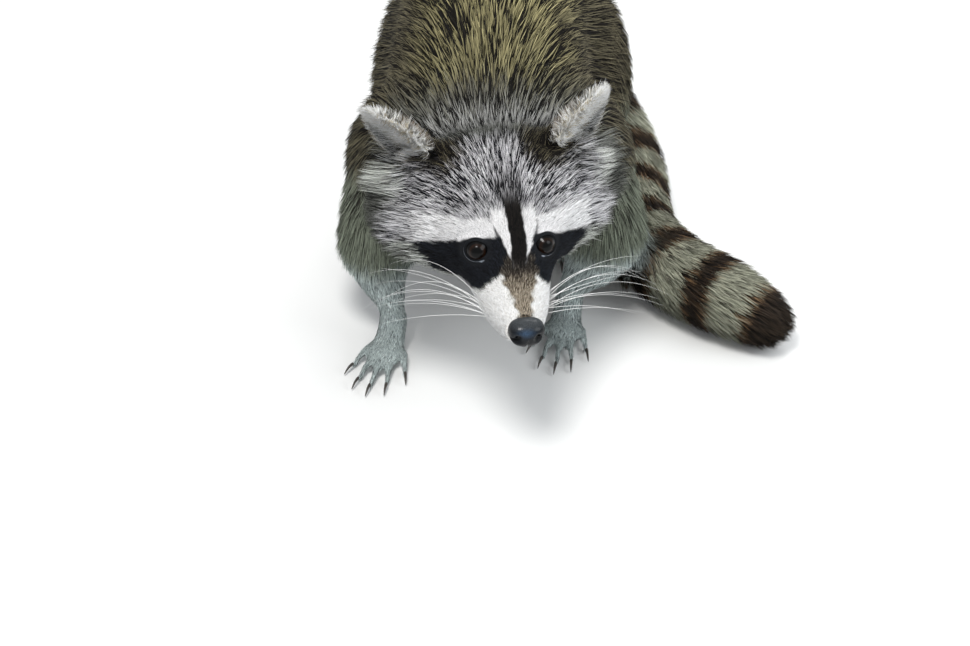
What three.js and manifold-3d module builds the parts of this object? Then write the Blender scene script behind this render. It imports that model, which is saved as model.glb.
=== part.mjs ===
// A life-size raccoon (Procyon lotor), crouched and looking slightly to its left.
// Millimetres. +Z is up, the animal faces -Y, and +X is its left side. The floor is z = 0.
// Every piece of flesh is drawn out to the tips of the coat.
import * as THREE from 'three';
import { mergeVertices } from 'three/addons/utils/BufferGeometryUtils.js';
import Module from 'manifold-3d';

const wasm = await Module();
wasm.setup();

// ---- driving dimensions -------------------------------------------------------------------
const GAP = 0.3; // clearance between touching pieces
const SOLE = 0.8; // how deep pads and tail are pressed flat on the floor
const EYE_SPACING = 41.5; // between the centres of the eyeballs
const EYE_RADIUS = 8;
const HEAD_PLACE = { x: 0, y: -38, z: 138, turn: 11, nod: 10, lean: 2.5 }; // degrees
const EAR_THICKNESS = 4.6;
const TOE_ROOM = 0.93; // how far along a toe its claw leaves it
const TOES = 5;
const BLOCK = 1200; // side of the blocks that trim pieces, longer than the whole animal

// colours and finishes of the coat
const FINISH = {
  coat: { color: 0x8d8578, roughness: 0.9 },
  mask: { color: 0x77706a, roughness: 0.9 },
  paw: { color: 0xa4a6a3, roughness: 0.8 },
  tail: { color: 0x6b6257, roughness: 0.9 },
  eye: { color: 0x1a0f08, roughness: 0.05 },
  nose: { color: 0x16171b, roughness: 0.35 },
  claw: { color: 0x2b2724, roughness: 0.4 },
};

// ---- solids -------------------------------------------------------------------------------
const V = (x, y, z) => new THREE.Vector3(x, y, z);
const SIDES = { right: -1, left: 1 };

function solid(geometry) {
  const bare = geometry.clone();
  for (const name of Object.keys(bare.attributes)) {
    if (name !== 'position') bare.deleteAttribute(name);
  }
  const merged = mergeVertices(bare, 1e-4);
  const mesh = new wasm.Mesh({
    numProp: 3,
    vertProperties: new Float32Array(merged.attributes.position.array),
    triVerts: new Uint32Array(merged.index.array),
  });
  mesh.merge();
  return new wasm.Manifold(mesh);
}

function geometryOf(manifold) {
  const mesh = manifold.getMesh();
  const geometry = new THREE.BufferGeometry();
  const points = new Float32Array(mesh.vertProperties);
  const faces = new Uint32Array(mesh.triVerts);
  geometry.setAttribute('position', new THREE.BufferAttribute(points, 3));
  geometry.setIndex(new THREE.BufferAttribute(faces, 1));
  geometry.computeVertexNormals();
  return geometry;
}

// The value named `key`, eased through the stations, at t from 0 (the first) to 1 (the last).
function smooth(stations, key, t) {
  const last = stations.length - 1;
  const s = Math.min(Math.max(t * last, 0), last);
  const i = Math.min(Math.floor(s), last - 1);
  const at = (k) => stations[Math.min(Math.max(k, 0), last)][key];
  const [a, b, c, d] = [at(i - 1), at(i), at(i + 1), at(i + 2)];
  const u = s - i;
  const bend = 2 * a - 5 * b + 4 * c - d;
  const twist = 3 * b - a - 3 * c + d;
  return (2 * b + (c - a) * u + bend * u ** 2 + twist * u ** 3) / 2;
}

// A closed body drawn along a curve. Each station has its centre `at`, its half-width `wide`,
// and how far it reaches above (`over`) and below (`under`) the centre. `side` is the
// direction of the width, `round` the length of the two rounded ends (none is a flat end),
// `domes` the rings in each of them, `square` the fullness of the section (2 is an ellipse),
// `span` the stretch of the curve that is drawn, and `grow` a coat of clearance all round.
const BODY = {
  side: V(1, 0, 0),
  steps: 10,
  sides: 16,
  round: [8, 8],
  square: 2.1,
  span: [0, 1],
  domes: 2,
  grow: 0,
};
function body(stations, shape) {
  const { side, steps, sides, round, square, span, domes, grow } = { ...BODY, ...shape };
  const curve = new THREE.CatmullRomCurve3(stations.map((s) => s.at), false, 'centripetal');
  const rings = [];
  const frame = (tangent) => {
    const across = side.clone().addScaledVector(tangent, -side.dot(tangent)).normalize();
    return [across, V().crossVectors(tangent, across).normalize()];
  };
  const upward = frame(curve.getTangent(0.5))[1].z < 0 ? -1 : 1;
  const ring = (centre, tangent, wide, over, under) => {
    const [across, up] = frame(tangent);
    up.multiplyScalar(upward);
    const points = [];
    for (let k = 0; k < sides; k++) {
      const angle = (2 * Math.PI * k) / sides;
      const c = Math.cos(angle);
      const s = Math.sin(angle);
      const a = Math.sign(c) * Math.abs(c) ** (2 / square) * (wide + grow);
      const b = Math.sign(s) * Math.abs(s) ** (2 / square) * ((s > 0 ? over : under) + grow);
      points.push(centre.clone().addScaledVector(across, a).addScaledVector(up, b));
    }
    rings.push(points);
  };
  const [from, to] = span;
  const section = (t, ahead, shrink = 1) => {
    const tangent = curve.getTangent(t);
    const centre = curve.getPoint(t).addScaledVector(tangent, ahead);
    const reach = (key) => (smooth(stations, key, t) + grow) * shrink - grow;
    ring(centre, tangent, reach('wide'), reach('over'), reach('under'));
    return centre;
  };
  // A round end is a dome of rings; a flat one stands back by half the clearance.
  const quarter = Math.PI / 2;
  const dome = Array.from({ length: domes }, (_, i) => quarter * (1 - (i + 1) / (domes + 1)));
  const tips = [];
  if (round[0] > 0) {
    for (const a of dome) section(from, -(round[0] + grow) * Math.sin(a), Math.cos(a));
    tips[0] = curve.getPoint(from).addScaledVector(curve.getTangent(from), -(round[0] + grow));
  }
  const flatStart = round[0] > 0 ? 0 : GAP / 2;
  const flatEnd = round[1] > 0 ? 0 : GAP / 2;
  for (let i = 0; i <= steps; i++) {
    const inset = (i === 0 ? flatStart : 0) - (i === steps ? flatEnd : 0);
    const centre = section(from + ((to - from) * i) / steps, inset);
    if (i === 0) tips[0] ??= centre.clone();
    if (i === steps && round[1] === 0) tips[1] = centre.clone();
  }
  if (round[1] > 0) {
    for (const a of dome.slice().reverse()) section(to, (round[1] + grow) * Math.sin(a), Math.cos(a));
    tips[1] = curve.getPoint(to).addScaledVector(curve.getTangent(to), round[1] + grow);
  }
  return skinned(rings, tips);
}

// Joins rings of points, and closes the ends on two tips.
function skinned(rings, tips) {
  const sides = rings[0].length;
  const points = rings.flat();
  const first = points.length;
  points.push(...tips);
  const faces = [];
  for (let r = 0; r + 1 < rings.length; r++) {
    for (let k = 0; k < sides; k++) {
      const a = r * sides + k;
      const b = r * sides + ((k + 1) % sides);
      faces.push(a, b, b + sides, a, b + sides, a + sides);
    }
  }
  const end = (rings.length - 1) * sides;
  for (let k = 0; k < sides; k++) {
    faces.push(first, (k + 1) % sides, k);
    faces.push(first + 1, end + k, end + ((k + 1) % sides));
  }
  const geometry = new THREE.BufferGeometry();
  const numbers = points.flatMap((p) => p.toArray());
  geometry.setAttribute('position', new THREE.Float32BufferAttribute(numbers, 3));
  geometry.setIndex(volume(points, faces) > 0 ? faces : faces.reverse());
  return solid(geometry);
}

// Six times the signed volume, which is below zero when the faces look inward.
function volume(points, faces) {
  let sum = 0;
  for (let i = 0; i < faces.length; i += 3) {
    const [a, b, c] = [points[faces[i]], points[faces[i + 1]], points[faces[i + 2]]];
    sum += a.dot(V().crossVectors(b, c));
  }
  return sum;
}

const row = (x, y, z, wide, over = wide, under = over) => ({ at: V(x, y, z), wide, over, under });

function box(size, centre) {
  const geometry = new THREE.BoxGeometry(size.x, size.y, size.z);
  geometry.translate(centre.x, centre.y, centre.z);
  return solid(geometry);
}

const underFloor = box(V(BLOCK, BLOCK, BLOCK), V(0, 0, -BLOCK / 2));

// ---- head, in its own frame: +X left, -Y forward, +Z up, origin midway between the eyes ----
// One row for each section, from the nose back: forward, height, half-width, over, under.
const headRows = [
  [52, -24, 13, 10, 10],
  [43, -24.5, 17, 12.5, 13],
  [31, -24, 22, 16.5, 17],
  [18, -22, 24.5, 19.5, 22],
  [6, -18, 28, 22, 28],
  [-5, -13, 38, 27, 36],
  [-18, -11, 56, 40, 43],
  [-33, -13, 69, 54, 46],
  [-47, -16, 75, 64, 46],
  [-61, -17, 75, 65, 44],
  [-75, -16, 66, 57, 40],
  [-86, -14, 52, 43, 32],
];
const alongHead = (rows) => rows.map(([f, u, wide, over, under]) => row(0, -f, u, wide, over, under));
const headShape = (grow = 0) =>
  body(alongHead(headRows), { steps: 12, sides: 18, round: [4, 9], domes: 1, grow });
const jawRows = [
  [45, -32.5, 7.5, 4, 5],
  [34, -35, 11, 5, 6],
  [18, -38, 15, 6, 7.5],
  [2, -43, 22, 8, 8],
];
const jawShape = (grow = 0) =>
  body(alongHead(jawRows), { steps: 3, sides: 10, round: [4, 10], domes: 1, grow });

function eyeball(side, grow = 0) {
  const geometry = new THREE.SphereGeometry(EYE_RADIUS + grow, 12, 8);
  geometry.translate((side * EYE_SPACING) / 2, 0, 0);
  return solid(geometry);
}

// The lids open on a shallow dish that looks forward, up and outward.
const LOOK = V(0.36, -0.72, 0.54).normalize();
const DISH_RADIUS = 7.9;
function lidDish(side) {
  const geometry = new THREE.SphereGeometry(DISH_RADIUS, 10, 7);
  const centre = V(side * LOOK.x, LOOK.y, LOOK.z).multiplyScalar(EYE_RADIUS);
  geometry.translate((side * EYE_SPACING) / 2 + centre.x, centre.y, centre.z);
  return solid(geometry);
}

const noseRows = [
  [51, -21, 10.5, 7.5, 7.5],
  [55, -20.5, 11.2, 8, 8],
  [59, -20.5, 9.6, 7, 7.2],
];
const nosePad = (grow = 0) =>
  body(alongHead(noseRows), { steps: 3, sides: 12, round: [3, 2.4], square: 2.3, domes: 1, grow });

// An ear is a thick leaf, cupped towards its opening, which looks forward and outward.
const EAR = {
  right: { root: V(-53, 54, 28), tip: V(-86, 63, 67), opening: V(-0.72, -0.78, 0.1) },
  left: { root: V(46, 52, 28), tip: V(70, 66, 67), opening: V(0.4, -0.9, 0) },
  halfWidths: [15, 17, 16.5, 14, 9.5, 4],
  cup: [8, 8.5, 8, 6, 3, 0.8],
};
const EAR_POINTS = 3; // across half of the leaf
const EAR_THINNING = 0.35; // how much thinner the tip is than the root
const EAR_EDGE = 0.05; // squared share of the thickness that is left at the rim
function ear(name, grow = 0) {
  const side = SIDES[name];
  const { root, tip } = EAR[name];
  const axis = tip.clone().sub(root).normalize();
  const opening = EAR[name].opening.clone();
  opening.addScaledVector(axis, -opening.dot(axis)).normalize();
  const across = V().crossVectors(axis, opening).multiplyScalar(side);
  const rings = EAR.halfWidths.map((half, i) => {
    const t = i / (EAR.halfWidths.length - 1);
    const centre = root.clone().lerp(tip, t);
    const thick = EAR_THICKNESS * (1 - EAR_THINNING * t) + grow * 2;
    const front = [];
    const back = [];
    for (let k = -EAR_POINTS; k <= EAR_POINTS; k++) {
      const s = k / EAR_POINTS;
      const depth = EAR.cup[i] * (1 - s * s);
      const edge = Math.sqrt(Math.max(1 - s ** 6, EAR_EDGE));
      const base = centre.clone().addScaledVector(across, s * (half + grow));
      base.addScaledVector(opening, -depth);
      front.push(base.clone().addScaledVector(opening, (thick / 2) * edge));
      back.push(base.clone().addScaledVector(opening, (-thick / 2) * edge));
    }
    return [...front, ...back.reverse()];
  });
  const foot = root.clone().addScaledVector(axis, -1).addScaledVector(opening, -EAR.cup[0] - 1);
  return skinned(rings, [foot, tip.clone().addScaledVector(axis, 2)]);
}

const degrees = THREE.MathUtils.degToRad;
const headMatrix = new THREE.Matrix4()
  .makeTranslation(HEAD_PLACE.x, HEAD_PLACE.y, HEAD_PLACE.z)
  .multiply(new THREE.Matrix4().makeRotationZ(degrees(HEAD_PLACE.turn)))
  .multiply(new THREE.Matrix4().makeRotationX(degrees(HEAD_PLACE.nod)))
  .multiply(new THREE.Matrix4().makeRotationY(degrees(HEAD_PLACE.lean)));
const placed = (manifold) => solid(geometryOf(manifold).applyMatrix4(headMatrix));

// ---- neck and trunk -----------------------------------------------------------------------
const neckRows = [
  row(-5, 8, 134, 58, 42, 50),
  row(-9, 34, 140, 70, 52, 56),
  row(-12, 62, 145, 74, 56, 58),
  row(-13, 86, 144, 62, 46, 50),
];
const neckShape = (grow = 0) => body(neckRows, { steps: 3, sides: 14, round: [8, 14], domes: 1, grow });

const trunkRows = [
  row(-14, 44, 124, 68, 60, 58),
  row(-14, 76, 136, 74, 76, 68),
  row(-13, 110, 144, 72, 89, 76),
  row(-12, 148, 148, 70, 99, 80),
  row(-7, 186, 140, 73, 99, 76),
  row(2, 222, 122, 69, 80, 64),
  row(10, 246, 104, 48, 52, 44),
];
const TRUNK_CUTS = [98, 164]; // chest | loin | rump
const trunkShape = (grow = 0) => body(trunkRows, { steps: 8, sides: 18, round: [24, 36], grow });

// Keeps what lies between two levels of y.
function slice(manifold, from, to) {
  const away = BLOCK / 2 - GAP / 2;
  const cutAt = (y) => box(V(BLOCK, BLOCK, BLOCK), V(0, y, 0));
  let kept = manifold;
  if (from !== null) kept = kept.subtract(cutAt(from - away));
  if (to !== null) kept = kept.subtract(cutAt(to + away));
  return kept;
}

// ---- legs ---------------------------------------------------------------------------------
const FORELEGS = {
  right: {
    upper: [
      row(-64, 66, 160, 34, 40, 40),
      row(-76, 78, 132, 34, 38, 36),
      row(-84, 88, 102, 28, 29, 29),
    ],
    fore: [
      row(-83, 86, 98, 26, 27),
      row(-87, 75, 70, 28, 26),
      row(-86, 61, 46, 21, 19),
      row(-77, 45, 28, 10.5, 11),
    ],
    wrist: V(-76, 41, 22),
    palm: V(-82, 20, 9),
    heading: -17,
  },
  left: {
    upper: [
      row(38, 66, 160, 34, 40, 40),
      row(51, 80, 132, 34, 38, 36),
      row(59, 92, 102, 28, 29, 29),
    ],
    fore: [
      row(58, 92, 98, 26, 27),
      row(65, 86, 70, 29, 27),
      row(60, 78, 44, 25, 22),
      row(44, 72, 27, 12, 12),
    ],
    wrist: V(42, 70, 22),
    palm: V(37, 44, 9),
    heading: -10,
  },
};
const HINDLEGS = {
  right: {
    thigh: [
      row(-44, 212, 152, 37, 50, 48),
      row(-60, 182, 126, 35, 45, 43),
      row(-69, 156, 104, 27, 32, 30),
    ],
    shank: [
      row(-69, 170, 102, 21, 22),
      row(-67, 198, 66, 19, 20),
      row(-63, 226, 32, 13, 14),
    ],
    wrist: V(-63, 228, 27),
    palm: V(-67, 162, 8),
    heading: -8,
  },
  left: {
    thigh: [
      row(44, 206, 150, 36, 48, 46),
      row(54, 174, 126, 34, 43, 41),
      row(58, 150, 104, 26, 30, 28),
    ],
    shank: [
      row(57, 164, 102, 21, 22),
      row(48, 192, 66, 18, 19),
      row(38, 220, 32, 13, 14),
    ],
    wrist: V(38, 222, 27),
    palm: V(36, 156, 8),
    heading: 2,
  },
};
const limb = (rows, steps, sides, round, grow) => body(rows, { steps, sides, round, domes: 1, grow });

// A foot: a palm from the wrist or heel, and five toes spread ahead of it. `turn` gives the
// five headings away from the foot's own, `length` the toes, from the inner toe outward.
// `palm` is the half-width at the wrist, in the middle and at the root of the toes.
const HAND = {
  turn: [20, 9, 0, -8, -17],
  length: [20, 27, 29, 27, 21],
  toe: 2.9,
  palm: [9.5, 10.5, 13],
  heelHeight: 8,
};
const HIND = {
  turn: [26, 11, 0, -11, -24],
  length: [21, 27, 29, 27, 22],
  toe: 3.5,
  palm: [13, 13, 15],
  heelHeight: 10,
};
const KNUCKLE_HEIGHT = 6.5; // centre of the foot's thickness at the root of the toes

function footPalm(place, kind, grow = 0) {
  const ahead = headingOf(place);
  const side = V(-ahead.y, ahead.x, 0);
  const { wrist, palm } = place;
  const [back, middle, front] = kind.palm;
  const centre = wrist.clone().lerp(palm, 0.55);
  centre.z = Math.max(wrist.z / 3, kind.heelHeight);
  const end = palm.clone().addScaledVector(ahead, 3);
  end.z = KNUCKLE_HEIGHT;
  const rows = [
    { at: wrist.clone(), wide: back, over: back + 1, under: back + 1 },
    { at: centre, wide: middle, over: 9, under: 10 },
    { at: end, wide: front, over: 7, under: 7.5 },
  ];
  return body(rows, { side, steps: 3, sides: 8, round: [6, 7], domes: 1, grow });
}

function headingOf(place, turn = 0) {
  const angle = degrees(place.heading + turn);
  return V(Math.sin(angle), -Math.cos(angle), 0);
}

// The roots of the toes lie on a bow across the front of the palm.
const BOW = { width: 0.9, front: 4, depth: 9 };
function toeRoot(place, kind, side, i) {
  const ahead = headingOf(place);
  const across = V(-ahead.y, ahead.x, 0).multiplyScalar(side);
  const fan = (2 * i) / (TOES - 1) - 1;
  const [, , front] = kind.palm;
  const root = place.palm.clone().addScaledVector(across, fan * front * BOW.width);
  return root.addScaledVector(ahead, BOW.front - BOW.depth * fan ** 2);
}

// The left foot is the right one's mirror image, so `side` turns the fan of the toes round.
function toe(place, kind, side, i, grow = 0) {
  const ahead = headingOf(place, -side * kind.turn[i]);
  const root = toeRoot(place, kind, side, i);
  const across = V(-ahead.y, ahead.x, 0);
  const at = (f, z) => root.clone().addScaledVector(ahead, f * kind.length[i]).setZ(z);
  const r = kind.toe;
  const rows = [
    { at: at(0, 6.2), wide: r + 0.8, over: r + 1, under: r + 1 },
    { at: at(0.5, 6.6), wide: r, over: r, under: r },
    { at: at(TOE_ROOM, r - SOLE), wide: r * 0.95, over: r * 0.95, under: r },
  ];
  return body(rows, { side: across, steps: 2, sides: 5, round: [0, 3.2], domes: 1, grow });
}

function claw(place, kind, side, i) {
  const ahead = headingOf(place, -side * kind.turn[i]);
  const root = toeRoot(place, kind, side, i);
  const tip = kind.length[i] * TOE_ROOM;
  const at = (f, z) => root.clone().addScaledVector(ahead, tip + f).setZ(z);
  const across = V(-ahead.y, ahead.x, 0);
  const rows = [
    { at: at(1, 4.6), wide: 1.3, over: 1.7, under: 1.6 },
    { at: at(6, 4.4), wide: 1.1, over: 1.4, under: 1.3 },
    { at: at(10.5, 1.9), wide: 0.5, over: 0.6, under: 0.6 },
  ];
  return body(rows, { side: across, steps: 2, sides: 4, round: [0.6, 0.9], domes: 0 });
}

function foot(place, kind, side, grow = 0) {
  let whole = footPalm(place, kind, grow);
  for (let i = 0; i < TOES; i++) whole = whole.add(toe(place, kind, side, i, grow));
  return whole.subtract(underFloor);
}

// ---- tail ---------------------------------------------------------------------------------
const tailRows = [
  row(20, 248, 108, 24),
  row(52, 250, 76, 26),
  row(78, 226, 42, 28),
  row(86, 188, 29.4, 30),
  row(86, 150, 29.4, 30),
  row(92, 114, 29.4, 30),
  row(117, 76, 29.4, 30),
  row(150, 50, 28.4, 29),
  row(174, 34, 22.4, 23),
];
const TAIL_CUTS = [0.27, 0.52, 0.76]; // shares of its length, between its four lengths
const TAIL_RINGS = 19; // sections in the whole tail

const tailLength = (from, to, grow = 0) =>
  body(tailRows, {
    side: V(0.7, 0.7, 0),
    steps: Math.round((to - from) * TAIL_RINGS),
    sides: 12,
    round: [from === 0 ? 14 : 0, to === 1 ? 18 : 0],
    square: 2,
    span: [from, to],
    grow,
  }).subtract(underFloor);

// ---- the animal ---------------------------------------------------------------------------
const raccoon = new THREE.Group();
raccoon.name = 'raccoon';
const head = new THREE.Group();
head.name = 'head_group';
headMatrix.decompose(head.position, head.quaternion, head.scale);
raccoon.add(head);

function add(name, manifold, finish, group = raccoon) {
  const { color, roughness } = FINISH[finish];
  const material = new THREE.MeshStandardMaterial({ color, roughness, metalness: 0 });
  const mesh = new THREE.Mesh(geometryOf(manifold), material);
  mesh.name = name;
  group.add(mesh);
}

// head, jaw, nose, eyes and ears
let skull = headShape().subtract(nosePad(GAP));
for (const side of Object.values(SIDES)) {
  skull = skull.subtract(eyeball(side, GAP)).subtract(lidDish(side));
}
add('head', skull, 'mask', head);
add('lower_jaw', jawShape().subtract(headShape(GAP)), 'mask', head);
add('nose', nosePad(), 'nose', head);
for (const [name, side] of Object.entries(SIDES)) {
  add(`eye_${name}`, eyeball(side), 'eye', head);
  add(`ear_${name}`, ear(name).subtract(headShape(GAP)), 'mask', head);
}

// neck and the three lengths of the trunk
const headCutter = placed(
  headShape(GAP).add(jawShape(GAP)).add(ear('right', GAP)).add(ear('left', GAP)),
);
add('neck', neckShape().subtract(headCutter), 'coat');
const fullTrunk = trunkShape().subtract(neckShape(GAP)).subtract(headCutter);
const [shoulderCut, loinCut] = TRUNK_CUTS;
add('chest', slice(fullTrunk, null, shoulderCut), 'coat');
add('loin', slice(fullTrunk, shoulderCut, loinCut), 'coat');
add('rump', slice(fullTrunk, loinCut, null), 'coat');

// legs, feet and claws
const flesh = trunkShape(GAP).add(neckShape(GAP)).add(headCutter);
const nearTail = tailLength(TAIL_CUTS[1], TAIL_CUTS[2], GAP); // it lies by the left elbow
const hindTail = tailLength(TAIL_CUTS[0], TAIL_CUTS[1], GAP).add(tailLength(0, TAIL_CUTS[0], GAP));
for (const [name, side] of Object.entries(SIDES)) {
  const fore = FORELEGS[name];
  const upperArm = (grow) => limb(fore.upper, 4, 11, [22, 10], grow);
  let foreArm = limb(fore.fore, 5, 9, [10, 6], 0).subtract(footPalm(fore, HAND, GAP));
  foreArm = foreArm.subtract(upperArm(GAP)).subtract(flesh).subtract(nearTail);
  add(`upper_arm_${name}`, upperArm(0).subtract(flesh), 'coat');
  add(`forearm_${name}`, foreArm, 'paw');
  add(`hand_${name}`, foot(fore, HAND, side), 'paw');
  const hind = HINDLEGS[name];
  const thigh = (grow) => limb(hind.thigh, 4, 11, [24, 12], grow);
  const shank = limb(hind.shank, 4, 10, [10, 8], 0).subtract(footPalm(hind, HIND, GAP));
  add(`thigh_${name}`, thigh(0).subtract(flesh), 'coat');
  add(`shank_${name}`, shank.subtract(thigh(GAP)).subtract(flesh).subtract(hindTail), 'coat');
  add(`hind_foot_${name}`, foot(hind, HIND, side), 'paw');
  for (let i = 0; i < TOES; i++) {
    const handClaw = claw(fore, HAND, side, i).subtract(toe(fore, HAND, side, i, GAP));
    const footClaw = claw(hind, HIND, side, i).subtract(toe(hind, HIND, side, i, GAP));
    add(`claw_hand_${name}_${i + 1}`, handClaw, 'claw');
    add(`claw_foot_${name}_${i + 1}`, footClaw, 'claw');
  }
}

// tail
const ends = [0, ...TAIL_CUTS, 1];
for (let i = 0; i + 1 < ends.length; i++) {
  const piece = tailLength(ends[i], ends[i + 1]);
  add(`tail_${i + 1}`, i === 0 ? piece.subtract(flesh) : piece, 'tail');
}

// the origin is the middle of the floor under the animal
const middle = new THREE.Box3().setFromObject(raccoon, true).getCenter(V());
raccoon.position.set(-middle.x, -middle.y, 0);

export default raccoon;
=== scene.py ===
"""A raccoon as a still museum model: skin, coat, eyes, nose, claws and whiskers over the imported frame."""
import math

import bmesh
import bpy
import numpy as np
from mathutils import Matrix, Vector
from mathutils.bvhtree import BVHTree
from mathutils.kdtree import KDTree


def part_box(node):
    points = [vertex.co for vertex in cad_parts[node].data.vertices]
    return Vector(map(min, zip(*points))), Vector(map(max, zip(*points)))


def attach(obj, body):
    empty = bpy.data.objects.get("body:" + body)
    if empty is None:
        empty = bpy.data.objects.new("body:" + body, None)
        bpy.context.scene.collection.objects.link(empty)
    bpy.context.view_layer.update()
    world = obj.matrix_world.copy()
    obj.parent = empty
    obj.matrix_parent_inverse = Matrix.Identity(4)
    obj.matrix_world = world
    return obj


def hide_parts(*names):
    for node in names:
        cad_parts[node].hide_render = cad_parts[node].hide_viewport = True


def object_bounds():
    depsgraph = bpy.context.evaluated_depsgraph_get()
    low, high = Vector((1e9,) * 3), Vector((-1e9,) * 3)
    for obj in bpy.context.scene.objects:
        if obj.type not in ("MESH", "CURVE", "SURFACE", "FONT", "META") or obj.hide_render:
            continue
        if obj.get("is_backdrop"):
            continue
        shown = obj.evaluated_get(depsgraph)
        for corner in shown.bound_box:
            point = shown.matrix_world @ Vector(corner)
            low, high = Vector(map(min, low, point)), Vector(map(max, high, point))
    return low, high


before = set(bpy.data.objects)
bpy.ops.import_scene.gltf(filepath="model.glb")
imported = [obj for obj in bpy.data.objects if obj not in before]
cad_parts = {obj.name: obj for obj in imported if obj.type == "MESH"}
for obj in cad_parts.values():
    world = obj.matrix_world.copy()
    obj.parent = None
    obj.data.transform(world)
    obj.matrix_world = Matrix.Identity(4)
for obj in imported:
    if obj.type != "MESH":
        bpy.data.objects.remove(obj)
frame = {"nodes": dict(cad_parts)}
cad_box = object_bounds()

rng = np.random.default_rng(7)
MM = 0.001

# ---- the frame: where the head and the limbs are ----


def centre(node):
    lo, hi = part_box(node)
    return (np.array(lo) + np.array(hi)) / 2


def rotation(axis, degrees):
    c, s = math.cos(math.radians(degrees)), math.sin(math.radians(degrees))
    i, j = {"x": (1, 2), "y": (2, 0), "z": (0, 1)}[axis]
    m = np.eye(3)
    m[i, i] = m[j, j] = c
    m[i, j], m[j, i] = -s, s
    return m


def unit(v):
    return v / np.maximum(np.linalg.norm(v, axis=-1, keepdims=True), 1e-12)


def ease(a, b, x):
    """0 up to a and 1 from b, smooth between them."""
    t = np.clip((x - a) / (b - a), 0, 1)
    return t * t * (3 - 2 * t)


SIDES = {"right": -1, "left": 1}
EYE = {name: centre("eye_" + name) for name in SIDES}
EYE_RADIUS = 8.0
BETWEEN_EYES = (EYE["left"] + EYE["right"]) / 2
HEAD_TURN, HEAD_NOD, HEAD_LEAN = 11, 10, 2.5  # degrees
HEAD = rotation("z", HEAD_TURN) @ rotation("x", HEAD_NOD) @ rotation("y", HEAD_LEAN)
ORIGIN = BETWEEN_EYES - np.array((0, -38, 138)) * MM


def at(*points):
    """Points in millimetres from the drawing's own origin, under the animal's chest."""
    return ORIGIN + np.array(points, float) * MM


def head_mm(p):
    """Left, forward and up from between the eyes, in millimetres."""
    q = (p - BETWEEN_EYES) @ HEAD / MM
    return q[..., 0], -q[..., 1], q[..., 2]


def head_dir(left, forward, up):
    return np.stack(np.broadcast_arrays(left, -np.asarray(forward, float), up), -1).astype(float) @ HEAD.T


def head_point(left, forward, up):
    return BETWEEN_EYES + head_dir(left, forward, up) * MM


VIEW_TILT = math.radians(48)  # how far the photo looks down on the face


def face_height(forward, up):
    """How high a point of the head lies as the photo sees it, in millimetres."""
    return up * math.cos(VIEW_TILT) - forward * math.sin(VIEW_TILT)


def lip_height(forward):
    """Where the mouth runs, in millimetres over the level of the eyes."""
    return -33.5 - 0.16 * (50 - forward)


def eye_gap(p):
    """Millimetres from the nearer eye's centre."""
    return np.minimum(*(np.linalg.norm(p - c, axis=1) for c in EYE.values())) / MM


# shoulder or hip, elbow or knee, wrist or ankle, and on to the toes
BONES = {
    "fore_right": at((-64, 66, 160), (-84, 88, 102), (-86, 61, 46), (-76, 41, 22), (-82, 20, 9),
                     (-92, -12, 4)),
    "fore_left": at((38, 66, 160), (59, 92, 102), (60, 78, 44), (42, 70, 22), (37, 44, 9), (31, 12, 4)),
    "hind_right": at((-44, 212, 152), (-69, 156, 104), (-67, 198, 66), (-63, 228, 27), (-67, 162, 8),
                     (-72, 130, 4)),
    "hind_left": at((44, 206, 150), (58, 150, 104), (48, 192, 66), (38, 222, 27), (36, 156, 8), (37, 122, 4)),
    "tail": at((20, 248, 108), (52, 250, 76), (78, 226, 42), (86, 188, 30), (86, 150, 30), (92, 114, 30),
               (117, 76, 30), (150, 50, 29), (174, 34, 23), (190, 24, 21)),
}


def along(bone, p):
    """For each point: how far it lies along the bone in mm, and the bone's direction there."""
    joints = BONES[bone]
    lengths = np.linalg.norm(np.diff(joints, axis=0), axis=1)
    starts = np.concatenate([[0], np.cumsum(lengths)])
    best = np.full(len(p), 1e9)
    where = np.zeros(len(p))
    heading = np.zeros((len(p), 3))
    for i, (a, b) in enumerate(zip(joints, joints[1:])):
        k = np.clip((p - a) @ (b - a) / lengths[i] ** 2, 0, 1)
        away = np.linalg.norm(p - a - k[:, None] * (b - a), axis=1)
        near = away < best
        best[near] = away[near]
        where[near] = (starts[i] + k[near] * lengths[i]) / MM
        heading[near] = (b - a) / lengths[i]
    return where, heading


EARS = {
    "right": (head_point(-53, -54, 28), head_point(-86, -63, 67), head_dir(-0.72, 0.78, 0.1)),
    "left": (head_point(46, -52, 28), head_point(70, -66, 67), head_dir(0.4, 0.9, 0)),
}
EAR_HALF_WIDTHS = (15, 17, 16.5, 14, 9.5, 4)  # from root to tip


def ear_frame(name):
    root, tip, opening = EARS[name]
    axis = unit(tip - root)
    opening = unit(opening - axis * (opening @ axis))
    inward = np.cross(axis, opening)
    inward = inward * -np.sign((inward @ HEAD)[0] * SIDES[name])
    return root, np.linalg.norm(tip - root), axis, opening, inward


def ear_place(p, n):
    """Along the nearer ear from root 0 to tip 1, across to its inner edge 1, and how far n faces its cup."""
    s, m, front = np.zeros(len(p)), np.zeros(len(p)), np.zeros(len(p))
    for name, side in SIDES.items():
        root, reach, axis, opening, inward = ear_frame(name)
        mine = head_mm(p)[0] * side > 0
        q = p[mine] - root
        s[mine] = q @ axis / reach
        half = np.interp(s[mine], np.linspace(0, 1, len(EAR_HALF_WIDTHS)), EAR_HALF_WIDTHS)
        m[mine] = q @ inward / MM / half
        front[mine] = n[mine] @ opening
    return s, m, front


# ---- meshes as arrays ----


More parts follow.
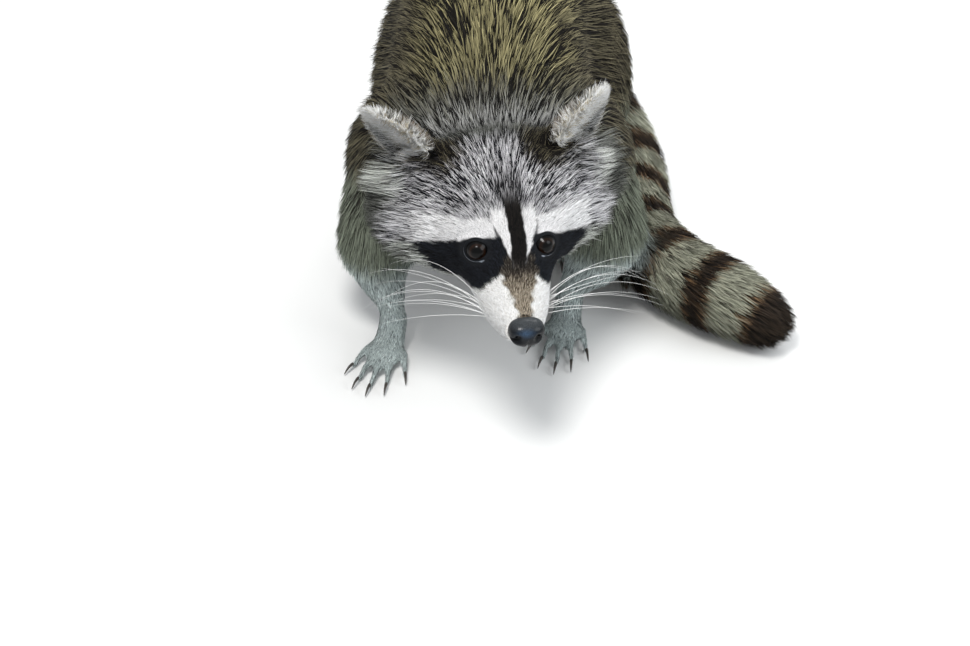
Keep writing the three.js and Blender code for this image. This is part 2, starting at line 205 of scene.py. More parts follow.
class Net:
    """A mesh of quads or triangles with its neighbours, for smoothing in arrays."""

    def __init__(self, points, faces):
        self.points = points
        self.faces = faces
        edges = []
        for f in faces:
            sides = f.shape[1]
            edges += [f[:, [k, (k + 1) % sides]] for k in range(sides)]
        edges = np.sort(np.concatenate(edges), axis=1)
        edges = np.unique(edges[:, 0].astype(np.int64) * len(points) + edges[:, 1])
        edges = np.stack([edges // len(points), edges % len(points)], 1)
        both = np.concatenate([edges, edges[:, ::-1]])
        both = both[np.argsort(both[:, 0], kind="stable")]
        self.near = both[:, 1]
        self.degree = np.bincount(both[:, 0], minlength=len(points))
        self.first = np.concatenate([[0], np.cumsum(self.degree)[:-1]])

    def mean(self, values):
        total = np.add.reduceat(values[self.near], self.first, axis=0)
        return total / (self.degree[:, None] if values.ndim > 1 else self.degree)

    def spread(self, values, times):
        for _ in range(times):
            values = (values + self.mean(values)) / 2
        return values

    def relax(self, times, weight):
        weight = np.broadcast_to(np.asarray(weight, float), len(self.points))[:, None] / 2
        for _ in range(times):
            self.points = self.points + weight * (self.mean(self.points) - self.points)

    def normals(self):
        out = np.zeros_like(self.points)
        for f in self.faces:
            a, b, c = (self.points[f[:, k]] for k in (0, 1, 2))
            n = np.cross(c - a, self.points[f[:, -1]] - b) if f.shape[1] == 4 else np.cross(b - a, c - a)
            for k in range(f.shape[1]):
                for axis in range(3):
                    out[:, axis] += np.bincount(f[:, k], n[:, axis], len(out))
        return unit(out)

    def parts(self):
        """A number for each vertex, the same for all that are joined."""
        label = np.arange(len(self.points))
        while True:
            low = np.minimum(label, np.minimum.reduceat(label[self.near], self.first))
            low = low[low]
            if (low == label).all():
                return label
            label = low


def arrays_of(mesh):
    points = np.empty(len(mesh.vertices) * 3)
    mesh.vertices.foreach_get("co", points)
    loops = np.empty(len(mesh.loops), np.int32)
    mesh.loops.foreach_get("vertex_index", loops)
    totals = np.empty(len(mesh.polygons), np.int32)
    mesh.polygons.foreach_get("loop_total", totals)
    starts = np.concatenate([[0], np.cumsum(totals)[:-1]])
    faces = [loops[starts[totals == n][:, None] + np.arange(n)] for n in np.unique(totals)]
    return points.reshape(-1, 3), faces


def mesh_of(name, points, faces):
    mesh = bpy.data.meshes.new(name)
    mesh.vertices.add(len(points))
    mesh.vertices.foreach_set("co", np.asarray(points, np.float32).ravel())
    mesh.loops.add(sum(f.size for f in faces))
    mesh.loops.foreach_set("vertex_index", np.concatenate([f.ravel() for f in faces]).astype(np.int32))
    totals = np.concatenate([np.full(len(f), f.shape[1]) for f in faces])
    mesh.polygons.add(len(totals))
    mesh.polygons.foreach_set("loop_start", np.concatenate([[0], np.cumsum(totals)[:-1]]).astype(np.int32))
    mesh.polygons.foreach_set("use_smooth", np.ones(len(totals), bool))
    mesh.update(calc_edges=True)
    return mesh


def paint(mesh, colours):
    rgba = np.c_[colours, np.ones(len(colours))].astype(np.float32)
    mesh.color_attributes.new("tone", "FLOAT_COLOR", "POINT").data.foreach_set("color", rgba.ravel())


def place_vectors(mesh, name, vectors):
    values = mesh.attributes.new(name, "FLOAT_VECTOR", "POINT")
    values.data.foreach_set("vector", vectors.astype(np.float32).ravel())


def node_arrays(name, merge, swell=0.0):
    """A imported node's points, each moved out by `swell` metres, and its triangles."""
    bm = bmesh.new()
    bm.from_mesh(nodes[name].data)
    bmesh.ops.remove_doubles(bm, verts=bm.verts, dist=merge)
    bmesh.ops.triangulate(bm, faces=bm.faces)
    bm.normal_update()
    points = np.array([v.co + v.normal * swell for v in bm.verts])
    faces = np.array([[v.index for v in face.verts] for face in bm.faces])
    bm.free()
    return points, faces


def joined(parts):
    """The points and faces of several meshes as those of one."""
    starts = np.cumsum([0] + [len(points) for points, _ in parts])
    return np.concatenate([p for p, _ in parts]), np.concatenate([f + k for (_, f), k in zip(parts, starts)])


def piece(name, mesh, slot, *nodes, material):
    ob = bpy.data.objects.new(name, mesh)
    bpy.context.scene.collection.objects.link(ob)
    mesh.materials.append(material)
    if nodes:
        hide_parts(*nodes)
    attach(ob, "root")
    return ob


def changed(points, faces, kind, group=None, **settings):
    """The arrays of a mesh after one modifier, on the vertices of a group if one is given."""
    ob = bpy.data.objects.new("work", mesh_of("work", points, faces))
    bpy.context.scene.collection.objects.link(ob)
    if group is not None:
        ob.vertex_groups.new(name="group").add(np.flatnonzero(group).tolist(), 1.0, "REPLACE")
        settings["vertex_group"] = "group"
    mod = ob.modifiers.new("work", kind)
    for key, value in settings.items():
        setattr(mod, key, value)
    done = ob.evaluated_get(bpy.context.evaluated_depsgraph_get())
    out = arrays_of(done.to_mesh())
    done.to_mesh_clear()
    bpy.data.objects.remove(ob)
    return out


def remeshed(points, faces, voxel):
    """One closed surface round the meshes given: the largest part of a voxel remesh."""
    net = Net(*changed(points, faces, "REMESH", mode="VOXEL", voxel_size=voxel))
    label = net.parts()
    keep = label == np.bincount(label).argmax()
    renumber = np.cumsum(keep) - 1
    return Net(net.points[keep], [renumber[f[keep[f[:, 0]]]] for f in net.faces])


# ---- skin: the flesh nodes as one surface, a coat's depth inside them ----

nodes = frame["nodes"]
FLESH = [n for n in nodes if not n.startswith(("eye_", "claw_", "nose"))]
KINDS = ["head", "ear", "neck", "trunk", "arm", "fore", "foot", "tail"]
STARTS = {"head": "head", "lower_jaw": "head", "nose": "head", "eye_": "head", "ear_": "ear", "neck": "neck",
          "chest": "trunk", "loin": "trunk", "rump": "trunk", "upper_arm": "arm", "thigh": "arm",
          "forearm": "fore", "shank": "fore", "hand": "foot", "hind_foot": "foot", "tail": "tail"}


def kind_of(name):
    """The kind of body part that a node is, by how its name starts."""
    return next(kind for start, kind in STARTS.items() if name.startswith(start))


def part(share, kind):
    return share[:, KINDS.index(kind)]


def of(share, **values):
    """One number for each vertex from a number for each kind of body part."""
    return share @ np.array([values[k] for k in KINDS], float)


node_names = FLESH + ["nose", "eye_left", "eye_right"]
GAP = 0.4 * MM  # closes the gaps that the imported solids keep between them
solids = [node_arrays(name, 1e-6, GAP) for name in node_names]
points, faces = joined(solids)
owners = np.concatenate([np.full(len(f), number) for number, (_, f) in enumerate(solids)])
cad = BVHTree.FromPolygons(points.tolist(), faces.tolist())

VOXEL = 0.0013
outer = remeshed(points, [faces], VOXEL)

owner = np.array([owners[cad.find_nearest(Vector(p))[2]] for p in outer.points])
kinds = np.array([KINDS.index(kind_of(node_names[i])) for i in owner])
share = np.eye(len(KINDS))[kinds]

softness = of(share, head=0.3, ear=0.06, neck=1, trunk=1, arm=0.8, fore=0.6, foot=0.05, tail=0.8)
outer.relax(120, outer.spread(softness, 12))
x, f, u = head_mm(outer.points)
z = (outer.points[:, 2] - ORIGIN[2]) / MM
side = np.abs(x)
head_depth = (1.2 + 8.5 * ease(8, -45, f) + 5.0 * ease(32, 58, side) * ease(0, -26, f)
              + 4 * ease(-38, -52, u) * ease(-5, -30, f))
depth = of(share, head=0, ear=0.6, neck=17, trunk=20, arm=14, fore=0, foot=0.7, tail=16)
depth += part(share, "head") * head_depth + part(share, "fore") * (1.2 + 10 * ease(38, 84, z))
depth = outer.spread(depth, 50)
depth *= ease(9, 20, eye_gap(outer.points))

# the lie of the coat, tail- and toe-ward
heading = np.zeros_like(outer.points)
owner_names = np.array(node_names)[owner]
outward = np.sign(x) * (0.9 * ease(4, 45, side) + 0.25 * ease(0, 12, side))
back = head_dir(outward, -1.0, 0.15 - 0.5 * ease(30, 60, side))
on_head = kinds == KINDS.index("head")
heading[on_head] = back[on_head]
flank = np.clip(outer.normals()[:, 0], -1, 1)
body_way = np.stack([0.25 * flank, np.ones(len(flank)), -0.75 * np.abs(flank) ** 2], 1)
on_body = np.isin(kinds, (KINDS.index("neck"), KINDS.index("trunk")))
heading[on_body] = body_way[on_body]
for name in EARS:
    mine = owner_names == "ear_" + name
    _, _, axis, _, inward = ear_frame(name)
    s, _, front = ear_place(outer.points[mine], outer.normals()[mine])
    heading[mine] = axis - inward * (0.45 * ease(0, 0.5, front) * ease(1, 0.7, s))[:, None]
LIMBS = {"fore": ("upper_arm", "forearm", "hand"), "hind": ("thigh", "shank", "hind_foot"), "tail": ("tail",)}
for bone in BONES:
    limb, _, which = bone.partition("_")
    mine = np.array([n.startswith(LIMBS[limb]) and n.endswith(which) for n in owner_names])
    heading[mine] = along(bone, outer.points[mine])[1]
on_arm = kinds == KINDS.index("arm")
heading[on_arm] = unit(heading[on_arm]) + (0, 0.35, -0.75)
heading = unit(outer.spread(unit(heading), 70))

inner_points = outer.points - outer.normals() * depth[:, None] * MM
skin = remeshed(inner_points, outer.faces, VOXEL * 0.95)


def tree_of(points):
    tree = KDTree(len(points))
    for i, p in enumerate(points):
        tree.insert(p, i)
    tree.balance()
    return tree


tree = tree_of(inner_points)
fields = share, heading, depth


def carried(points):
    """The fields of the outer surface at points of the skin."""
    nearest = np.array([tree.find(p)[1] for p in points])
    return [values[nearest] for values in fields]


share = carried(skin.points)[0]
skin.relax(28, of(share, head=0.35, ear=0.15, neck=1, trunk=1, arm=1, fore=0.7, foot=0.2, tail=1))

# under the long coat the faces can be larger
plain = of(share, head=0, ear=0, neck=1, trunk=1, arm=1, fore=0.4, foot=0, tail=1) > 0.5
skin = Net(*changed(skin.points, skin.faces, "DECIMATE", group=plain, ratio=1 - 0.93 * plain.mean(),
                    use_collapse_triangulate=True))


def finer(net, chosen):
    """The net with each edge between chosen vertices halved."""
    bm = bmesh.new()
    bm.from_mesh(mesh_of("work", net.points, net.faces))
    edges = [e for e in bm.edges if chosen[e.verts[0].index] and chosen[e.verts[1].index]]
    bmesh.ops.subdivide_edges(bm, edges=edges, cuts=1, use_grid_fill=True, smooth=0.0)
    work = bpy.data.meshes.new("work")
    bm.to_mesh(work)
    bm.free()
    return Net(*arrays_of(work))


def on_face(p):
    x, f, _ = head_mm(p)
    return ease(-14, -6, f) * ease(40, 34, np.abs(x))


x, f, u = head_mm(skin.points)
skin = finer(skin, (f > -12) & (np.abs(x) < 36) & (u > -46) & (u < 24))
skin.relax(4, on_face(skin.points))
skin = finer(skin, eye_gap(skin.points) < 13)
skin.relax(4, on_face(skin.points))

# eyelids: an almond opening that wraps the eyeball
LOOK = {name: unit(head_dir(0.36 * side, 0.72, 0.54)) for name, side in SIDES.items()}
LID_THICKNESS = 0.9


def lid_frame(name):
    look = LOOK[name]
    outward = head_dir(SIDES[name], 0.15, 0.1)
    outward = unit(outward - look * (outward @ look))
    return look, outward, np.cross(look, outward) * SIDES[name]


def lid_ratio(name, p):
    """0 at the middle of the eye's opening and 1 at its edge, how far from the eyeball, and the angle."""
    look, outward, up = lid_frame(name)
    q = (p - EYE[name]) / MM
    r = np.linalg.norm(q, axis=-1)
    q = q / r[..., None]
    polar = np.degrees(np.arccos(np.clip(q @ look, -1, 1)))
    turn = np.arctan2(q @ up, q @ outward)
    cos = np.cos(turn)
    opening = 51 + 6 * cos**2 + 13 * np.clip(-cos, 0, 1) ** 6 + 4 * np.clip(cos, 0, 1) ** 6
    return polar / opening, r, turn


LID_REACH = 22 * MM
UNDER_LID = 1.6  # how far the skin draws in behind the opening
for name in SIDES:
    near = np.linalg.norm(skin.points - EYE[name], axis=1) < LID_REACH
    ratio, r, turn = lid_ratio(name, skin.points[near])
    rim = EYE_RADIUS + LID_THICKNESS + 0.35 * np.clip(np.sin(turn), 0, 1)
    beyond = np.maximum(r, rim - 0.3 * ease(1.2, 1.8, ratio))
    target = np.where(ratio < 0.94, EYE_RADIUS - UNDER_LID, rim)
    target = target + (beyond - target) * ease(1.12, 1.75, ratio) * (ratio > 0.94)
    way = unit(skin.points[near] - EYE[name])
    fade = (ease(2.4, 1.9, ratio) * ease(16.5, 12, r))[:, None]
    moved = EYE[name] + way * target[:, None] * MM
    skin.points[near] = skin.points[near] * (1 - fade) + moved * fade

gap = eye_gap(skin.points)
skin.relax(8, ease(10.2, 12, gap) * ease(20, 16, gap))

# under the nose pad the skin draws back, and the throat is smooth
x, f, u = head_mm(skin.points)
NOSE_CENTRE = head_point(1.4, 55, -21)
NOSE_RETREAT = 5 * MM


def nose_gap(p):
    """1 at the edge of the nose pad."""
    return np.linalg.norm(((p - NOSE_CENTRE) @ HEAD / MM) / (12.5, 9.5, 9.5), axis=1)


skin.points -= head_dir(0, 1, 0) * (ease(1.0, 0.75, nose_gap(skin.points)) * NOSE_RETREAT)[:, None]
throat = ease(10, 0, f) * ease(-44, -30, f) * ease(-20, -32, u) * ease(-75, -65, u) * ease(55, 45, np.abs(x))
skin.relax(120, throat)

# the mouth: a shallow crease from under the nose back along the lip
_, f, u = head_mm(skin.points)
CREASE = 1.3  # how deep the mouth's crease is, and half its width, in millimetres
crease = np.exp(-(((u - lip_height(f)) / CREASE) ** 2)) * ease(-2, 8, f) * ease(60, 52, f)
skin.points -= skin.normals() * (crease * CREASE * MM)[:, None]

share, heading, depth = carried(skin.points)
share = skin.spread(share, 30)
heading = skin.spread(heading, 6)
depth = skin.spread(depth, 4)
normal = skin.normals()
heading = unit(heading - normal * (heading * normal).sum(1)[:, None])

# ---- markings ----
# Each colour is a pale hair's root, middle and tip, and then a dark hair's middle and tip, in thousandths.
COLOURS = {
    "crown": ((6, 6, 8), (85, 82, 90), (960, 940, 970), (6, 6, 9), (12, 12, 15)),
    "brow": ((550, 530, 530), (930, 910, 910), (960, 950, 950), (50, 48, 50), (120, 110, 110)),
    "mask": ((2, 2, 3), (4, 5, 7), (22, 26, 35), (2, 2, 3), (3, 3, 4)),
    "stripe": ((3, 3, 3), (5, 4, 4), (22, 18, 15), (2, 2, 2), (4, 4, 4)),
    "bridge": ((30, 24, 18), (170, 135, 95), (600, 520, 410), (10, 8, 6), (30, 23, 17)),
    "muzzle": ((750, 730, 700), (940, 930, 910), (960, 960, 950), (300, 260, 200), (420, 360, 280)),
    "cheek": ((40, 40, 34), (270, 280, 250), (920, 950, 880), (20, 18, 15), (40, 37, 31)),
    "nape": ((5, 5, 5), (11, 11, 10), (170, 175, 155), (6, 6, 5), (9, 9, 8)),
    "back": ((7, 6, 4), (45, 38, 19), (410, 365, 185), (6, 5, 4), (9, 8, 6)),
    "sides": ((6, 5, 5), (14, 12, 8), (170, 150, 95), (6, 5, 5), (10, 8, 6)),
    "flank": ((8, 8, 6), (44, 48, 37), (250, 280, 215), (12, 11, 9), (28, 27, 21)),
    "belly": ((60, 50, 40), (220, 190, 150), (460, 420, 340), (30, 25, 20), (60, 50, 40)),
    "paw": ((130, 147, 146), (390, 450, 440), (640, 730, 715), (70, 80, 83), (150, 165, 170)),
    "ring": ((50, 48, 35), (165, 164, 125), (430, 437, 335), (22, 18, 13), (60, 52, 40)),
    "band": ((8, 6, 5), (14, 11, 9), (45, 32, 22), (6, 5, 4), (9, 7, 6)),
    "rust": ((12, 8, 6), (50, 30, 16), (240, 145, 75), (8, 6, 5), (18, 12, 8)),
    "ear_rim": ((600, 580, 500), (950, 950, 900), (970, 970, 950), (400, 330, 220), (620, 540, 380)),
    "ear_cup": ((12, 12, 12), (160, 160, 155), (930, 940, 910), (8, 8, 8), (20, 20, 20)),
}
COLOURS = {name: np.array(values) / 1000 for name, values in COLOURS.items()}

# how low the mask comes, by distance from the middle
MASK_EDGE = ((4, 11, 22, 30, 38, 50, 60), (-15, -18, -26, -23, -17, 0, 7))
# half the width of the brown on the muzzle, by height
BRIDGE_EDGE = ((-50, -44, -39, -33, -28, -22, -17, -11, -5), (3.6, 4.2, 5.0, 6.4, 8.2, 10.6, 11.5, 9.0, 6.5))
# the far edge of the white beside the stripe, by height
BLAZE_EDGE = ((-12, -8, -4.5, 0, 5, 17, 27), (4.0, 5.2, 7.0, 9.2, 11.2, 13.8, 14.5))
# how far left of the head's middle the stripe runs, by height
MIDLINE = ((-50, -22, 2, 16, 60), (1.6, 2.2, 4.0, 2.8, 0))
# the tail's rings: how far along it the last pale one lies, and the way from one to the next
LAST_RING, RING_STEP = 303, 41


def marked(p, n, share):
    """The coat's colours at points p, how many hairs are dark there, and the share of head."""
    x, f, u = head_mm(p)
    side = np.abs(x)
    v = face_height(f, u)
    w = (p - ORIGIN) / MM
    skull, pinna, neck, trunk, arm, fore, foot, tail = share.T
    tone = np.zeros((len(p), 5, 3))
    dark = np.zeros(len(p))

    def lay(colour, weight, tips):
        weight = np.clip(weight, 0, 1)
        tone[:] = tone + (COLOURS[colour] - tone) * weight[:, None, None]
        dark[:] = dark + (tips - dark) * weight

    wave = np.sin(w[:, 0] / 7 + np.sin(w[:, 1] / 9)) * np.sin(w[:, 1] / 11 + w[:, 2] / 8)
    body = neck + trunk + arm
    spine = w[:, 0] - np.interp(w[:, 1], (0, 110, 248), (-14, -13, 10))
    lay("sides", np.ones(len(p)), 0.5)
    lay("back", ease(60, 32, np.abs(spine) + 6 * wave) * ease(45, 70, w[:, 1]), 0.5)
    low = ease(126, 84, w[:, 2] + 5 * wave)
    lay("flank", low * body, 0.25)
    lay("belly", ease(-0.35, -0.8, n[:, 2]) * (trunk + neck), 0.3)
    lay("nape", neck * ease(70, 105, w[:, 2]), 0.56)
    lay("flank", arm * ease(132, 88, w[:, 2] + 4 * wave), 0.2)
    lay("flank", fore, 0.12)
    lay("paw", fore * ease(62, 40, w[:, 2]) + foot, 0.2)
    lay("flank", fore * ease(130, 165, w[:, 1]) * ease(16, 34, w[:, 2] + 4 * wave), 0.3)

    # the tail: pale rings on a dark ground, with rust between, and a dark tip
    s = along("tail", p)[0]
    ring = np.abs((s - LAST_RING + RING_STEP / 2) % RING_STEP - RING_STEP / 2)
    lay("band", tail, 0.3)
    lay("rust", tail * ease(16.5, 12, ring) * ease(20, 40, s) * ease(324, 317, s), 0.3)
    lay("ring", tail * ease(13.2, 9.2, ring) * ease(20, 40, s) * ease(320, 314, s), 0.12)

    # the head
    head = skull + pinna
    middle = np.abs(x - np.interp(v, *MIDLINE))
    jag = 1.6 * np.sin(x / 1.7) * np.sin(v / 1.3 + x / 3)
    top = 19 + 9 * ease(24, 55, side) + jag
    lower = 6.3 + 3 * ease(36, 58, side) + 0.4 * jag
    outer = np.interp(v, *BLAZE_EDGE)
    edge = np.interp(side, *MASK_EDGE) + 0.5 * jag
    half = np.interp(v, *BRIDGE_EDGE)
    front = ease(-48, -36, f)
    lay("cheek", head, 0.24)
    lay("nape", head * ease(-20, -48, f) * ease(20, -4, u), 0.45)
    lay("crown", head * ease(12, 24, v - 3 * ease(30, 55, side)) * ease(72, 58, side), 0.52)
    lay("nape", head * ease(54, 74, -f + 0.2 * u), 0.4)
    lay("belly", head * ease(-44, -56, u) * ease(-8, -24, f), 0.3)
    lay("crown", head * ease(top + 10, top + 1, v) * ease(lower, lower + 4, v) * front, 0.22)
    brow = ease(top + 2, top - 3, v) * ease(lower - 1.5, lower + 0.5, v) * ease(64, 54, side)
    lay("brow", head * brow * front, 0.04)
    mask = ease(lower + 1.2, lower - 1.2, v) * ease(edge - 1.5, edge + 1.5, v)
    mask = mask * ease(60, 54, side + 0.5 * jag)
    lay("mask", head * mask * ease(-30, -22, f) * ease(-43, -36, u), 0.4)
    snout = ease(edge + 1, edge - 2, v) * ease(0, 10, f)
    between = ease(1, -5, v) * ease(13.5, 12, side + 0.5 * jag) * ease(edge - 1, edge + 2, v)
    lay("mask", head * between * front, 0.4)
    brown = head * ease(-4, -9, v) * ease(half + 2.6, half - 1.2, middle + 0.9 * jag) * front
    lay("bridge", brown, 0.22 + 0.62 * ease(-32, -12, v))
    lay("mask", brown * 0.75 * ease(-24, -12, v), 0.8)
    lay("muzzle", head * snout * ease(half - 1.4, half + 2.2, middle + 0.9 * jag), 0.02)
    lay("muzzle", head * ease(-20, -27, u) * ease(2, 10, f), 0.0)
    blaze = ease(outer + 0.6, outer - 0.6, middle + 0.4 * jag) * ease(3.2, 4.6, middle)
    lay("brow", head * blaze * ease(-14, -10, v) * ease(27, 21, v) * front, 0.0)
    tick = ease(1.8, 0.5, np.abs(middle - outer - 1.2) + 1.4 * ease(6, 17, v))
    lay("mask", 0.8 * head * tick * ease(18, 12, v) * ease(3, 6, v) * front, 0.5)
    wedge = 3 + 0.22 * np.clip(v - 16, 0, 40)
    fading = ease(wedge + 4, wedge - 1, middle + 0.7 * jag) * ease(66, 34, v) * ease(14, 24, v)
    lay("stripe", 0.6 * head * fading * front, 0.5)
    stripe = ease(5.6, 4.8, middle + 0.2 * jag) * ease(35, 25, v) * ease(-18, -8, v)
    lay("stripe", head * stripe * ease(-40, -20, f), 0.4)

    # the ears: a pale inner edge, a dark cup, and a dark patch on the head beside them
    s, m, cup = ear_place(p, n)
    for name in EARS:
        root, _, axis, opening, inward = ear_frame(name)
        beside = np.linalg.norm(p - root - (inward * 18 + axis * 5 - opening * 5) * MM, axis=1) / MM
        lay("sides", head * ease(25, 14, beside + 2 * jag) * ease(0.9, 0.4, pinna), 0.8)
        beside = np.linalg.norm(p - root + (inward * 11 + axis * 5) * MM, axis=1) / MM
        lay("nape", 0.85 * head * ease(16, 8, beside + 2 * jag) * ease(0.9, 0.4, pinna), 0.65)
    ear = ease(0.25, 0.7, pinna) * ease(-0.05, 0.12, s)
    lay("nape", ear, 0.35)
    lay("rust", ear * ease(-0.1, 0.6, m) * ease(0.85, 0.45, s) * 0.85, 0.45)
    lay("ear_cup", ear * ease(-0.1, 0.3, cup), 0.45)
    lay("ear_rim", ear * ease(-0.78, -0.9, m) * ease(0.15, 0.35, s) * 0.7, 0.3)
    lining = ease(-0.6, -0.15, m + 0.5 * ease(0.5, 1, s)) * ease(-0.35, 0.1, cup) * ease(-0.02, 0.1, s)
    lay("ear_rim", ear * lining, 0.06)
    lay("ear_rim", ear * ease(0.3, 0.8, m) * ease(-0.95, -0.35, cup) * ease(0.0, 0.3, s), 0.25)
    lay("ear_rim", ear * ease(0.78, 0.92, s), 0.06)
    return tone, dark, np.clip(head, 0, 1)


# ---- materials ----


class Nodes:
    """A tree of nodes, built up one by one."""

    def __init__(self, tree):
        self.tree = tree

    def node(self, kind, links=(), **settings):
        made = self.tree.nodes.new("ShaderNode" + kind)
        for key, value in settings.items():
            setattr(made, key, value)
        for socket, source in dict(links).items():
            if hasattr(source, "is_output"):
                self.tree.links.new(source, made.inputs[socket])
            else:
                made.inputs[socket].default_value = source
        return made


class Shader(Nodes):
    """A material with one Principled shader."""

    def __init__(self, name, **values):
        self.material = bpy.data.materials.new(name)
        self.material.use_nodes = True
        super().__init__(self.material.node_tree)
        self.shader = self.tree.nodes["Principled BSDF"]
        for key, value in values.items():
            self.shader.inputs[key.replace("_", " ")].default_value = value

    def attribute(self, name, output):
        return self.node("Attribute", attribute_name=name).outputs[output]

    def times(self, a, b):
        """Two colours multiplied."""
        return self.node("Mix", {0: 1.0, 6: a, 7: b}, data_type="RGBA", blend_type="MULTIPLY").outputs[2]

    def ramp(self, factor, *stops):
        made = self.node("ValToRGB", {0: factor})
        bar = made.color_ramp.elements
        for i, (place, colour) in enumerate(stops):
            stop = bar[i] if i < 2 else bar.new(place)
            stop.position = place
            stop.color = (*colour, 1)
        return made.outputs[0]

    def set(self, socket, source):
        self.tree.links.new(source, self.shader.inputs[socket])

    def textured(self, kind, place, *stops, toned=False, bump=None, **values):
        """Colours the material by a texture's ramp, over its points' tone if it has one, and roughens it."""
        texture = self.node("Tex" + kind, {"Vector": place, **values}).outputs[0]
        colour = self.ramp(texture, *stops)
        self.set("Base Color", self.times(self.attribute("tone", "Color"), colour) if toned else colour)
        if bump:
            strength, distance = bump
            made = self.node("Bump", {"Height": texture, "Strength": strength, "Distance": distance})
            self.set("Normal", made.outputs[0])
        return self.material

    def object_place(self):
        return self.node("TexCoord").outputs["Object"]


def coat_material():
    m = Shader("coat_hair", Roughness=0.7, Specular_IOR_Level=0.12)
    return m.textured("Noise", m.attribute("strand", "Vector"), (0.3, (0.55, 0.55, 0.55)),
                      (0.7, (1.25, 1.25, 1.25)), toned=True, bump=(0.5, 0.0004),
                      Scale=1.0, Detail=2.0, Roughness=0.6)


def skin_material():
    m = Shader("hide", Roughness=0.75, Specular_IOR_Level=0.12)
    return m.textured("Noise", m.object_place(), (0.3, (0.6, 0.6, 0.6)), (0.7, (1.2, 1.2, 1.2)),
                      toned=True, bump=(0.6, 0.0006), Scale=900.0, Detail=3.0, Roughness=0.65)


# ---- skin piece ----

COAT_SHIFT = 1.1 * MM  # a short hair shows its colour this far along from its root
tone, _, _ = marked(skin.points + heading * COAT_SHIFT, normal, share)
skin_tone = tone[:, 1] * 0.7 + tone[:, 3] * 0.3
lid = np.zeros(len(skin.points))
painted_lid_glint = np.zeros(len(skin.points))
for name in SIDES:
    ratio, r, turn = lid_ratio(name, skin.points)
    close = ease(EYE_RADIUS + 4.5, EYE_RADIUS + 3, r)
    above = np.clip(np.sin(turn), 0, 1)
    lid = np.maximum(lid, close * ease(1.5 - 0.26 * above, 1.3 - 0.16 * above, ratio))
    below = np.clip(-np.sin(turn), 0, 1)
    rim = ease(0.3, 0.75, below + 0.5 * ease(0.3, 0.9, np.cos(turn))) * ease(0.3, 0.05, above)
    # painted reflection: a thin pale bluish glint just outside the lower lid's edge
    painted_lid_glint = np.maximum(painted_lid_glint, (r < EYE_RADIUS + 1.8) * ease(0.050, 0.022, np.abs(ratio - 1.09)) * rim)
_, f, u = head_mm(skin.points)
lips = np.exp(-(((u - lip_height(f)) / 1.6) ** 2)) * ease(-2, 8, f) * part(share, "head")
low = (skin.points[:, 2] - ORIGIN[2]) / MM
sole = part(share, "foot") * ease(2.5, 1.0, low) * (normal[:, 2] < -0.2)
# the lids', lips' and soles' own dark colours, and the painted reflection along the lower lids
BARE_SKIN = (((0.008, 0.009, 0.011), lid), ((0.30, 0.33, 0.38), 0.75 * painted_lid_glint), ((0.012, 0.010, 0.010), lips),
             ((0.020, 0.018, 0.018), sole))
for colour, weight in BARE_SKIN:
    skin_tone += (np.array(colour) - skin_tone) * weight[:, None]

skin_mesh = mesh_of("skin", skin.points, skin.faces)
paint(skin_mesh, skin_tone)
skin_piece = piece("skin", skin_mesh, "coat", *FLESH, material=skin_material())

bpy.context.view_layer.objects.active = skin_piece
skin_piece.select_set(True)
bpy.ops.object.mode_set(mode="EDIT")
bpy.ops.mesh.select_all(action="SELECT")
bpy.ops.uv.smart_project(angle_limit=math.radians(70), island_margin=0.002)
bpy.ops.object.mode_set(mode="OBJECT")
skin_mesh.uv_layers[0].name = "OFBake"

# ---- coat ----

skin_mesh.calc_loop_triangles()
tri = np.empty(len(skin_mesh.loop_triangles) * 3, np.int32)
skin_mesh.loop_triangles.foreach_get("vertices", tri)
tri = tri.reshape(-1, 3)
tri_loops = np.empty(len(skin_mesh.loop_triangles) * 3, np.int32)
skin_mesh.loop_triangles.foreach_get("loops", tri_loops)
uv = np.empty(len(skin_mesh.loops) * 2, np.float32)
skin_mesh.uv_layers["OFBake"].data.foreach_get("uv", uv)
tri_uv = uv.reshape(-1, 2)[tri_loops.reshape(-1, 3)]

_, f, _ = head_mm(skin.points)
spacing = of(share, head=0.86, ear=0.6, neck=1.15, trunk=1.4, arm=1.35, fore=1.1, foot=0.95, tail=1.0)
spacing -= 0.24 * part(share, "head") * ease(-30, 0, f)
belly = ease(-0.5, -0.9, normal[:, 2]) * (part(share, "trunk") + part(share, "neck"))
spacing *= 1 + 0.5 * belly
bare = np.clip(lid * 1.3, 0, 1)
bare = np.maximum(bare, ease(1.08, 0.98, nose_gap(skin.points)))
bare = np.maximum(bare, np.clip(part(share, "foot") * ease(3.5, 2.0, low) * (normal[:, 2] < 0.1), 0, 1))
density = (1 - bare) / (spacing * MM) ** 2

a, b, c = (skin.points[tri[:, k]] for k in range(3))
area = np.linalg.norm(np.cross(b - a, c - a), axis=1) / 2
expected = np.cumsum(area * density[tri].mean(1))
total = 258000  # tufts
picks = np.searchsorted(expected / expected[-1] * total, np.arange(total) + rng.random(total))
picks = np.clip(picks, 0, len(tri) - 1)
bary = rng.dirichlet((1, 1, 1), total)


def sampled(values):
    return (values[tri[picks]] * bary.reshape(total, 3, *([1] * (values.ndim - 1)))).sum(1)


root = sampled(skin.points)
root_normal = unit(sampled(normal))
way = sampled(heading)
way = unit(way - root_normal * (way * root_normal).sum(1)[:, None])
root_share = sampled(share)
root_depth = sampled(depth)
root_uv = (tri_uv[picks] * bary[:, :, None]).sum(1)
x, f, _ = head_mm(root)
side = np.abs(x)
root_height = (root[:, 2] - ORIGIN[2]) / MM
chance = rng.random(total)

